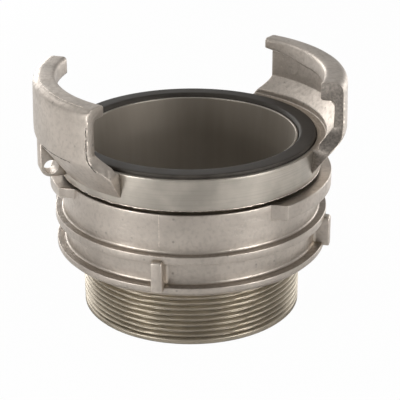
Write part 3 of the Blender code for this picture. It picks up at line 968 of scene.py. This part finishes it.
def rough_cut_material(name, colour):
    """A sawn or ground end face: coarse, sparkling and darker."""
    material, tree, shader = new_material(name, 1.0, 0.5)
    place = object_place(tree)
    chips = add_node(tree, "ShaderNodeTexVoronoi", {"Vector": place, "Scale": 900.0})
    grain = noise_texture(tree, place, 1100.0, 3.0)
    tone = varied(tree, grain, colour, 0.38, 0.62)
    # Edges lightened: rubbed bright on outer edges, painted highlight in fillets.
    rubbed_and_highlit = mix_colour(tree, edge_wear_and_highlight(tree, 0.30 * MM), tone, scaled(colour, 1.5))
    coarse = bump(tree, chips.outputs["Distance"], 0.35, 0.12 * MM)
    fine = bump(tree, grain, 0.5, 0.16 * MM, coarse)
    feed(tree, shader, {"Base Color": rubbed_and_highlit, "Normal": fine})
    return material


def glinting_burr_material(name, colour):
    """Fresh, bright metal on the casting's ragged edges, lightened further as a painted glint."""
    material, tree, shader = new_material(name, 1.0, 0.42)
    grain = noise_texture(tree, object_place(tree), 1500.0, 2.0)
    # Up to 1.75 times the cast colour: fresh metal, and a painted glint on top.
    feed(tree, shader, {"Base Color": varied(tree, grain, colour, 0.9, 1.75)})
    return material


def seam_shadow_material(name):
    """An almost black strip laid along a seam: painted shadow where the casting flash would shade the skin.
    """
    material, tree, shader = new_material(name, 0.2, 0.8)
    grain = noise_texture(tree, object_place(tree), 900.0, 2.0)
    factor = ramp_between(tree, grain, 0.0, 1.0, 0.45, 0.62)
    tone = mix_colour(tree, factor, (0.020, 0.016, 0.012), (0.16, 0.14, 0.11))
    feed(tree, shader, {"Base Color": tone})
    return material


def turned_material(name, colour, roughness, line_scale, line_depth):
    """Turned on a lathe: fine lines round the axis over a faint mottle, with painted shade in its corners
    and roots, and edges lightened by rubbing and as painted highlight.
    """
    material, tree, shader = new_material(name, 1.0, roughness)
    lines = noise_texture(tree, stretched_place(tree, (25.0, 25.0, line_scale)), 1.0, 4.0)
    cloud = noise_texture(tree, object_place(tree), 110.0, 3.0)
    tone = varied(tree, cloud, colour, 0.86, 1.10)
    dark_lines = ramp_between(tree, lines, 0.35, 0.0, 0.30, 0.52)
    lined = mix_colour(tree, dark_lines, tone, scaled(colour, 0.70))
    # Painted shade: darkens tight corners and the thread's roots.
    corner_shaded = mix_colour(tree, corner_shade(tree, 1.2 * MM), lined, scaled(colour, 0.35))
    # Edges lightened: rubbed bright on outer edges, painted highlight in fillets.
    rubbed_and_highlit = mix_colour(tree, edge_wear_and_highlight(tree, 0.4 * MM), corner_shaded, scaled(colour, 1.4))
    sheen = ramp_between(tree, lines, roughness + 0.08, roughness - 0.05)
    grooved = bump(tree, lines, 0.5, line_depth)
    feed(tree, shader, {"Base Color": rubbed_and_highlit, "Roughness": sheen, "Normal": grooved})
    return material


def bore_material(name, colour):
    """The bore's dull wall, with faint streaks along it. Its darker colour is partly painted shade inside
    the bore.
    """
    material, tree, shader = new_material(name, 0.7, 0.62)
    streaks = noise_texture(tree, stretched_place(tree, (260.0, 260.0, 9.0)), 1.0, 3.0)
    tone = varied(tree, streaks, colour, 0.97, 1.03)
    # The bore's rims lightened: rubbed bright, and a painted highlight.
    rubbed_and_highlit = mix_colour(tree, edge_wear_and_highlight(tree, 0.6 * MM), tone, RUBBED_AND_HIGHLIT_RIM_COLOUR)
    feed(tree, shader, {"Base Color": rubbed_and_highlit, "Normal": bump(tree, streaks, 0.06, 0.1 * MM)})
    return material


def rubber_material(name, colour):
    """Matt moulded rubber with a faint bloom."""
    material, tree, shader = new_material(name, 0.0, 0.55)
    feed(tree, shader, {"Specular Tint": (1.0, 0.92, 0.82, 1.0)})
    place = object_place(tree)
    bloom = noise_texture(tree, place, 120.0, 4.0)
    grain = noise_texture(tree, place, 2600.0, 2.0)
    tone = varied(tree, bloom, colour, 0.8, 1.5)
    sheen = ramp_between(tree, bloom, 0.48, 0.62)
    fine = bump(tree, grain, 0.4, 0.05 * MM)
    feed(tree, shader, {"Base Color": tone, "Roughness": sheen, "Normal": fine})
    return material


def spring_material(name):
    """Drawn wire, smooth along its length."""
    material, tree, shader = new_material(name, 1.0, 0.3)
    cloud = noise_texture(tree, object_place(tree), 300.0, 3.0)
    tone = mix_colour(tree, cloud, (0.40, 0.39, 0.37), (0.55, 0.54, 0.52))
    feed(tree, shader, {"Base Color": tone})
    return material


# Operators.


class COUPLING_OT_body(bpy.types.Operator):
    """Turns the body's core: threaded tail, journal, collar and bore."""

    bl_idname = "coupling.body"
    bl_label = "Body core"

    def execute(self, context):
        sizes = context.scene.coupling_sizes
        finish = context.scene.coupling_finish
        builder = revolve(core_outline(), 0.9 * MM)
        refine_tail(builder, sizes.thread_pitch)
        cut_thread(builder, sizes.thread_pitch, sizes.thread_depth)
        bmesh.ops.recalc_face_normals(builder, faces=builder.faces)
        paint_core(builder)
        materials = [
            cast_material("cast_skin", finish.cast_colour, finish.grit, 0.46),
            turned_material("turned_collar", finish.turned_colour, 0.38, 3800.0, 0.05 * MM),
            turned_material("cut_thread", finish.thread_colour, 0.40, 5200.0, 0.03 * MM),
            bore_material("bore_wall", finish.bore_colour),
        ]
        finish_piece("body_core", builder, "half_coupling", materials, "body")
        return {"FINISHED"}


class COUPLING_OT_hooks(bpy.types.Operator):
    """Sweeps the two hooks out of the collar."""

    bl_idname = "coupling.hooks"
    bl_label = "Hooks"

    def execute(self, context):
        sizes = context.scene.coupling_sizes
        finish = context.scene.coupling_finish
        skin = bpy.data.materials["cast_skin"]
        rough = rough_cut_material("rough_cut", finish.cast_colour)
        for index, centre in enumerate(HOOK_ANGLES):
            builder = hook_builder(centre, sizes.hook_end_round)
            name = f"hook_{index}"
            finish_piece(name, builder, "half_coupling", [skin, rough], "body")
        return {"FINISHED"}


class COUPLING_OT_ear(bpy.types.Operator):
    """Makes the ear under one hook and drills it."""

    bl_idname = "coupling.ear"
    bl_label = "Ear"

    def execute(self, context):
        builder, hole, thickness = ear_builder()
        skin = [bpy.data.materials["cast_skin"]]
        piece = finish_piece("ear", builder, "half_coupling", skin, "body")
        drill_ear(piece, hole, thickness)
        return {"FINISHED"}


class COUPLING_OT_flash(bpy.types.Operator):
    """Leaves ragged casting flash along the hooks' edges, with almost black strips of painted shadow beside
    it.
    """

    bl_idname = "coupling.flash"
    bl_label = "Casting flash"

    def execute(self, context):
        share = context.scene.coupling_sizes.flash_height / FLASH_HEIGHT
        finish = context.scene.coupling_finish
        burr = glinting_burr_material("bright_burr_glint", finish.cast_colour)
        # Almost black material for the strips of painted shadow along the seams.
        seam_shadow = seam_shadow_material("painted_seam_shadow")
        seams = [(seam, ("half_coupling", "cast_stainless", "body")) for seam in seam_paths()]
        seams += [(seam, ("ring", "ring_stainless", "locking_ring")) for seam in ring_seam_paths()]
        for index, (seam, (body, body_slot, node)) in enumerate(seams):
            name, corners, width, height, kind = seam
            builder = ridge_builder(corners, width, height * share, 3.1 + 4.7 * index)
            finish_piece(name, builder, body, [(burr, seam_shadow)[kind]], node)
        return {"FINISHED"}


class COUPLING_OT_seal(bpy.types.Operator):
    """Moulds the flat rubber seal."""

    bl_idname = "coupling.seal"
    bl_label = "Seal"

    def execute(self, context):
        rubber = [rubber_material("seal_rubber", context.scene.coupling_finish.rubber_colour)]
        builder = revolve(seal_outline(), 1.5 * MM)
        finish_piece("seal_ring", builder, "half_coupling", rubber, "seal")
        return {"FINISHED"}


class COUPLING_OT_ring(bpy.types.Operator):
    """Turns the locking ring, and adds its ramp lips and spanner lugs."""

    bl_idname = "coupling.ring"
    bl_label = "Locking ring"

    def execute(self, context):
        sizes = context.scene.coupling_sizes
        finish = context.scene.coupling_finish
        skin = cast_material("ring_skin", finish.cast_colour, finish.grit * 0.7, 0.42)
        # A darker copy of the ring's skin: painted shade on the flange's and rib's upper faces.
        shaded_ledge = cast_material("ring_ledge_shade", scaled(finish.cast_colour, 0.66), finish.grit, 0.5)
        wall = revolve(ring_outline(), 2.0 * MM)
        paint_ledge_shade(wall)
        parts = [("ring_wall", wall)]
        for index, start in enumerate(LIP_ANGLES):
            parts.append((f"ramp_lip_{index}", lip_builder(start, sizes.lip_end_round)))
        for index, angle in enumerate(LUG_ANGLES):
            parts.append((f"spanner_lug_{index}", lug_builder(angle)))
        for name, builder in parts:
            finish_piece(name, builder, "ring", [skin, shaded_ledge], "locking_ring")
        return {"FINISHED"}


class COUPLING_OT_wire(bpy.types.Operator):
    """Gives the retaining wire its drawn finish."""

    bl_idname = "coupling.wire"
    bl_label = "Retaining wire"

    def execute(self, context):
        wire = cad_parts["retaining_wire"]
        wire.material_slots[0].material = spring_material("drawn_wire")
        return {"FINISHED"}


def toward(azimuth, elevation):
    """A direction from the object, with azimuth 0 at the camera and positive to its right."""
    side = math.radians(azimuth)
    rise = math.radians(elevation)
    direction = Vector(
        (math.sin(side) * math.cos(rise), -math.cos(side) * math.cos(rise), math.sin(rise))
    )
    return Matrix.Rotation(math.radians(PHOTO_TURN), 3, "Z") @ direction


def softbox(name, azimuth, elevation, distance, width, height, radiance):
    """An area lamp that faces the object. radiance is the brightness of its face, where 1 is white."""
    lamp = bpy.data.lights.new(name, "AREA")
    lamp.shape = "RECTANGLE"
    lamp.size = width
    lamp.size_y = height
    lamp.energy = radiance * math.pi * width * height
    holder = add_object(name, lamp)
    target = Vector((0.0, 0.0, 0.05))
    away = toward(azimuth, elevation)
    holder.location = target + away * distance
    holder.rotation_mode = "QUATERNION"
    holder.rotation_quaternion = away.to_track_quat("Z", "Y")


def white_rays(tree, backdrop):
    """1 on rays from the camera. Rays off metal and through clear materials see as much of the backdrop."""
    path = add_node(tree, "ShaderNodeLightPath").outputs
    indirect = calculate(tree, "MAXIMUM", path["Is Glossy Ray"], path["Is Transmission Ray"])
    shown = calculate(tree, "MULTIPLY", indirect, backdrop)
    return calculate(tree, "MAXIMUM", path["Is Camera Ray"], shown)


def seen_from_front(tree, vector):
    """Splits a direction or a place into across, away from the photograph's camera, and up."""
    turned = add_node(
        tree,
        "ShaderNodeVectorRotate",
        {"Vector": vector, "Angle": -math.radians(PHOTO_TURN)},
        rotation_type="Z_AXIS",
    )
    return add_node(tree, "ShaderNodeSeparateXYZ", {"Vector": turned.outputs["Vector"]}).outputs


def show_share(tree, share, plain, white, output):
    """Sends a mix of a plain and a white shader to the output."""
    mixed = add_node(tree, "ShaderNodeMixShader", {0: share, 1: plain, 2: white})
    feed(tree, tree.nodes[output], {"Surface": mixed.outputs["Shader"]})


def make_floor():
    builder = bmesh.new()
    bmesh.ops.create_grid(builder, x_segments=2, y_segments=2, size=4.0)
    material, tree, shader = new_material("floor_paint", 0.0, 0.9)
    feed(tree, shader, {"Base Color": (0.82, 0.82, 0.82, 1.0), "Specular IOR Level": 0.0})
    white = add_node(tree, "ShaderNodeEmission", {"Color": (1.0, 1.0, 1.0, 1.0), "Strength": 1.0})
    place = seen_from_front(tree, object_place(tree))
    behind = ramp_between(tree, place["Y"], 0.0, 1.0, -0.02, 0.06)
    # Painted shadow: in reflections, a patch of floor just behind the object shows only half as much white.
    object_shadow_patch = ramp_between(tree, place["Y"], 1.0, 0.5, 0.14, 0.22)
    off_centre = calculate(tree, "MULTIPLY", place["X"], place["X"])
    aside = ramp_between(tree, off_centre, 0.0, 1.0, 0.0025, 0.0080)
    backdrop = calculate(tree, "MULTIPLY", behind, calculate(tree, "MAXIMUM", object_shadow_patch, aside))
    share = calculate(tree, "MULTIPLY", white_rays(tree, backdrop), FLOOR_GLOW)
    show_share(tree, share, shader.outputs["BSDF"], white.outputs["Emission"], "Material Output")
    floor = mesh_object("floor", builder, [material])


def make_world():
    """A grey room with a white backdrop behind the object, which is weaker at the middle right."""
    world = bpy.data.worlds.new("studio")
    world.use_nodes = True
    tree = world.node_tree
    room = tree.nodes["Background"]
    feed(tree, room, {"Color": (ROOM_GREY, ROOM_GREY, ROOM_GREY, 1.0)})
    white = add_node(tree, "ShaderNodeBackground", {"Color": (1.0, 1.0, 1.0, 1.0)})
    ray = seen_from_front(tree, add_node(tree, "ShaderNodeTexCoord").outputs["Generated"])
    behind = ramp_between(tree, ray["Y"], 0.0, 1.0, 0.25, 0.75)
    low = ramp_between(tree, ray["Z"], 1.0, 0.0, 0.35, 0.8)
    left = ramp_between(tree, ray["X"], 1.0, 0.4, -0.12, 0.12)
    right = ramp_between(tree, ray["X"], 0.0, 1.0, 0.25, 0.55)
    backdrop = calculate(tree, "MULTIPLY", behind, low)
    share = white_rays(tree, calculate(tree, "MULTIPLY", backdrop, calculate(tree, "MAXIMUM", left, right)))
    show_share(tree, share, room.outputs[0], white.outputs[0], "World Output")
    bpy.context.scene.world = world


def make_camera():
    """The photograph's view: tilt, roll, distance and framing fitted to the coupling's circles."""
    tilt = 0.40528
    roll = -0.00342
    distance = 0.550
    focal_pixels = 1350.0
    frame_pixels = 400.0
    target = Vector((0.0, 0.0, 0.030))
    across = (191.15 - frame_pixels / 2.0) / focal_pixels
    down = (227.17 - frame_pixels / 2.0) / focal_pixels
    forward = Vector((0.0, math.cos(tilt), -math.sin(tilt)))
    level_up = Vector((0.0, math.sin(tilt), math.cos(tilt)))
    level_right = Vector((1.0, 0.0, 0.0))
    right = level_right * math.cos(roll) + level_up * math.sin(roll)
    up = level_up * math.cos(roll) - level_right * math.sin(roll)
    place = target - (forward + right * across - up * down) * distance
    axes = Matrix((right, up, -forward)).transposed().to_4x4()
    turn = Matrix.Rotation(math.radians(PHOTO_TURN), 4, "Z")
    lens = bpy.data.cameras.new("camera")
    lens.sensor_width = 36.0
    lens.lens = focal_pixels / frame_pixels * lens.sensor_width
    lens.clip_start = 0.01
    lens.clip_end = 50.0
    camera = add_object("camera", lens)
    camera.matrix_world = turn @ Matrix.Translation(place) @ axes
    bpy.context.scene.camera = camera


class COUPLING_OT_stage(bpy.types.Operator):
    """Sets up the floor, the lamps, the world and the camera."""

    bl_idname = "coupling.stage"
    bl_label = "Stage"

    def execute(self, context):
        make_floor()
        make_world()
        for lamp in LAMPS:
            softbox(*lamp)
        make_camera()
        context.scene.view_settings.view_transform = "Standard"
        return {"FINISHED"}


class COUPLING_PT_panel(bpy.types.Panel):
    """Lists the coupling's sizes, finishes and steps."""

    bl_label = "Hook Half Coupling"
    bl_idname = "COUPLING_PT_panel"
    bl_space_type = "VIEW_3D"
    bl_region_type = "UI"
    bl_category = "Coupling"

    def draw(self, context):
        for group in (context.scene.coupling_sizes, context.scene.coupling_finish):
            box = self.layout.box()
            for name in type(group).__annotations__:
                box.prop(group, name)
        for operator in OPERATORS:
            self.layout.operator(operator.bl_idname)


OPERATORS = (
    COUPLING_OT_body,
    COUPLING_OT_hooks,
    COUPLING_OT_ear,
    COUPLING_OT_flash,
    COUPLING_OT_seal,
    COUPLING_OT_ring,
    COUPLING_OT_wire,
    COUPLING_OT_stage,
)
CLASSES = (CouplingSizes, CouplingFinish, *OPERATORS, COUPLING_PT_panel)


def register():
    for cls in CLASSES:
        bpy.utils.register_class(cls)
    bpy.types.Scene.coupling_sizes = bpy.props.PointerProperty(type=CouplingSizes)
    bpy.types.Scene.coupling_finish = bpy.props.PointerProperty(type=CouplingFinish)


def unregister():
    del bpy.types.Scene.coupling_finish
    del bpy.types.Scene.coupling_sizes
    for cls in reversed(CLASSES):
        bpy.utils.unregister_class(cls)


def main():
    register()
    bpy.ops.coupling.body()
    bpy.ops.coupling.hooks()
    bpy.ops.coupling.ear()
    bpy.ops.coupling.flash()
    bpy.ops.coupling.seal()
    bpy.ops.coupling.ring()
    bpy.ops.coupling.wire()
    bpy.ops.coupling.stage()


if __name__ == "__main__":
    main()
